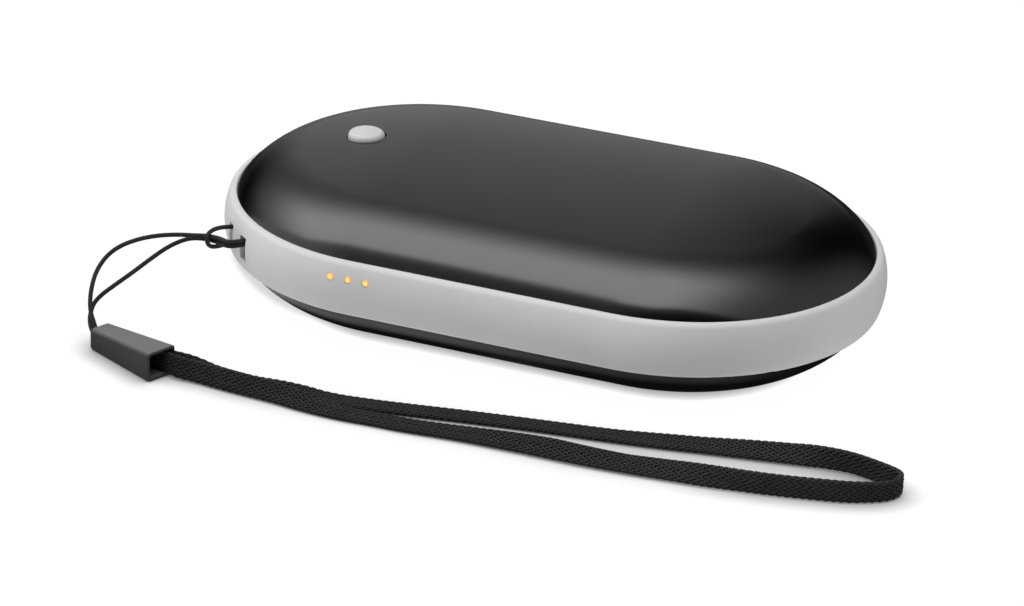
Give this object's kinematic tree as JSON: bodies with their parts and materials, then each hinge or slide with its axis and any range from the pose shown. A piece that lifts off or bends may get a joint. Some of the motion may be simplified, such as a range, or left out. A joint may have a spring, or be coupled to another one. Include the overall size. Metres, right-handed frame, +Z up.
{
  "type": "rechargeable hand warmer",
  "caption": "Pocket-sized electric hand warmer: domed black metal shells on a grey moulded band, with a push button, indicator lights, charging sockets and a wrist lanyard.",
  "frame": {"origin": "centre of the case's outline, on the surface that it rests on", "axes": "+X along the case away from the button and the sockets, -Y towards the indicator lights, +Z up through the top shell"},
  "size_m": [0.1267, 0.0804, 0.0244],
  "materials": {
    "shell_black": "black satin anodised",
    "band_grey": "fine satin moulding",
    "button_pale": "fine satin moulding",
    "amber_clear": "tinted clear",
    "lamp_yellow": "moulded lens",
    "board_green": "solder mask",
    "black_moulding": "moulded",
    "socket_steel": "nickel plated",
    "screw_steel": "zinc plated",
    "contact_gold": "gold plated",
    "ferrite": "sintered ferrite",
    "capacitor_tan": "ceramic",
    "tray_grey": "moulded",
    "cell_wrap": "shrink-wrapped can",
    "insulator_white": "paper",
    "nickel": "nickel strip",
    "heater_film": "polyimide film",
    "foam": "closed-cell foam",
    "adhesive": "cured bead",
    "lead_red": "insulated wire",
    "lead_black": "insulated wire",
    "lead_white": "insulated wire",
    "clip_dark": "satin moulding",
    "cord_black": "fine braided cord",
    "strap_charcoal": "flat braid"
  },
  "bodies": {
    "case": {"top_shell": "shell_black", "bottom_shell": "shell_black", "upper_bond_ring": "adhesive", "lower_bond_ring": "adhesive", "side_band": "band_grey", "switch_housing": "black_moulding", "switch_cover": "socket_steel", "circuit_board": "board_green", "board_screws": "screw_steel", "light_guide": "amber_clear", "indicator_lamps": "lamp_yellow", "lamp_resistors": "black_moulding", "usb_output_shell": "socket_steel", "usb_output_tongue": "black_moulding", "usb_output_contacts": "contact_gold", "usb_input_shell": "socket_steel", "usb_input_tongue": "black_moulding", "power_inductor": "ferrite", "controller_chip": "black_moulding", "board_capacitors": "capacitor_tan", "battery_tray": "tray_grey", "tray_screws": "screw_steel", "front_cell": "cell_wrap", "rear_cell": "cell_wrap", "cell_insulators": "insulator_white", "positive_strip": "nickel", "negative_strip": "nickel", "upper_heater_film": "heater_film", "lower_heater_film": "heater_film", "upper_foam_pad": "foam", "lower_foam_pad": "foam", "temperature_sensor": "black_moulding", "positive_lead": "lead_red", "negative_lead": "lead_black", "upper_heater_leads": "lead_white", "lower_heater_leads": "lead_white", "lanyard_clip": "clip_dark", "lanyard_cord": "cord_black", "wrist_strap": "strap_charcoal"},
    "button": {"button_cap": "button_pale", "switch_plunger": "button_pale"}
  },
  "joints": [
    {"name": "button_press", "type": "slide", "parent": "case", "child": "button", "axis": [0, 0, -1], "range_m": [0, 0.0005], "stiffness_N_per_m": 1500, "springref_m": -0.0005}
  ]
}
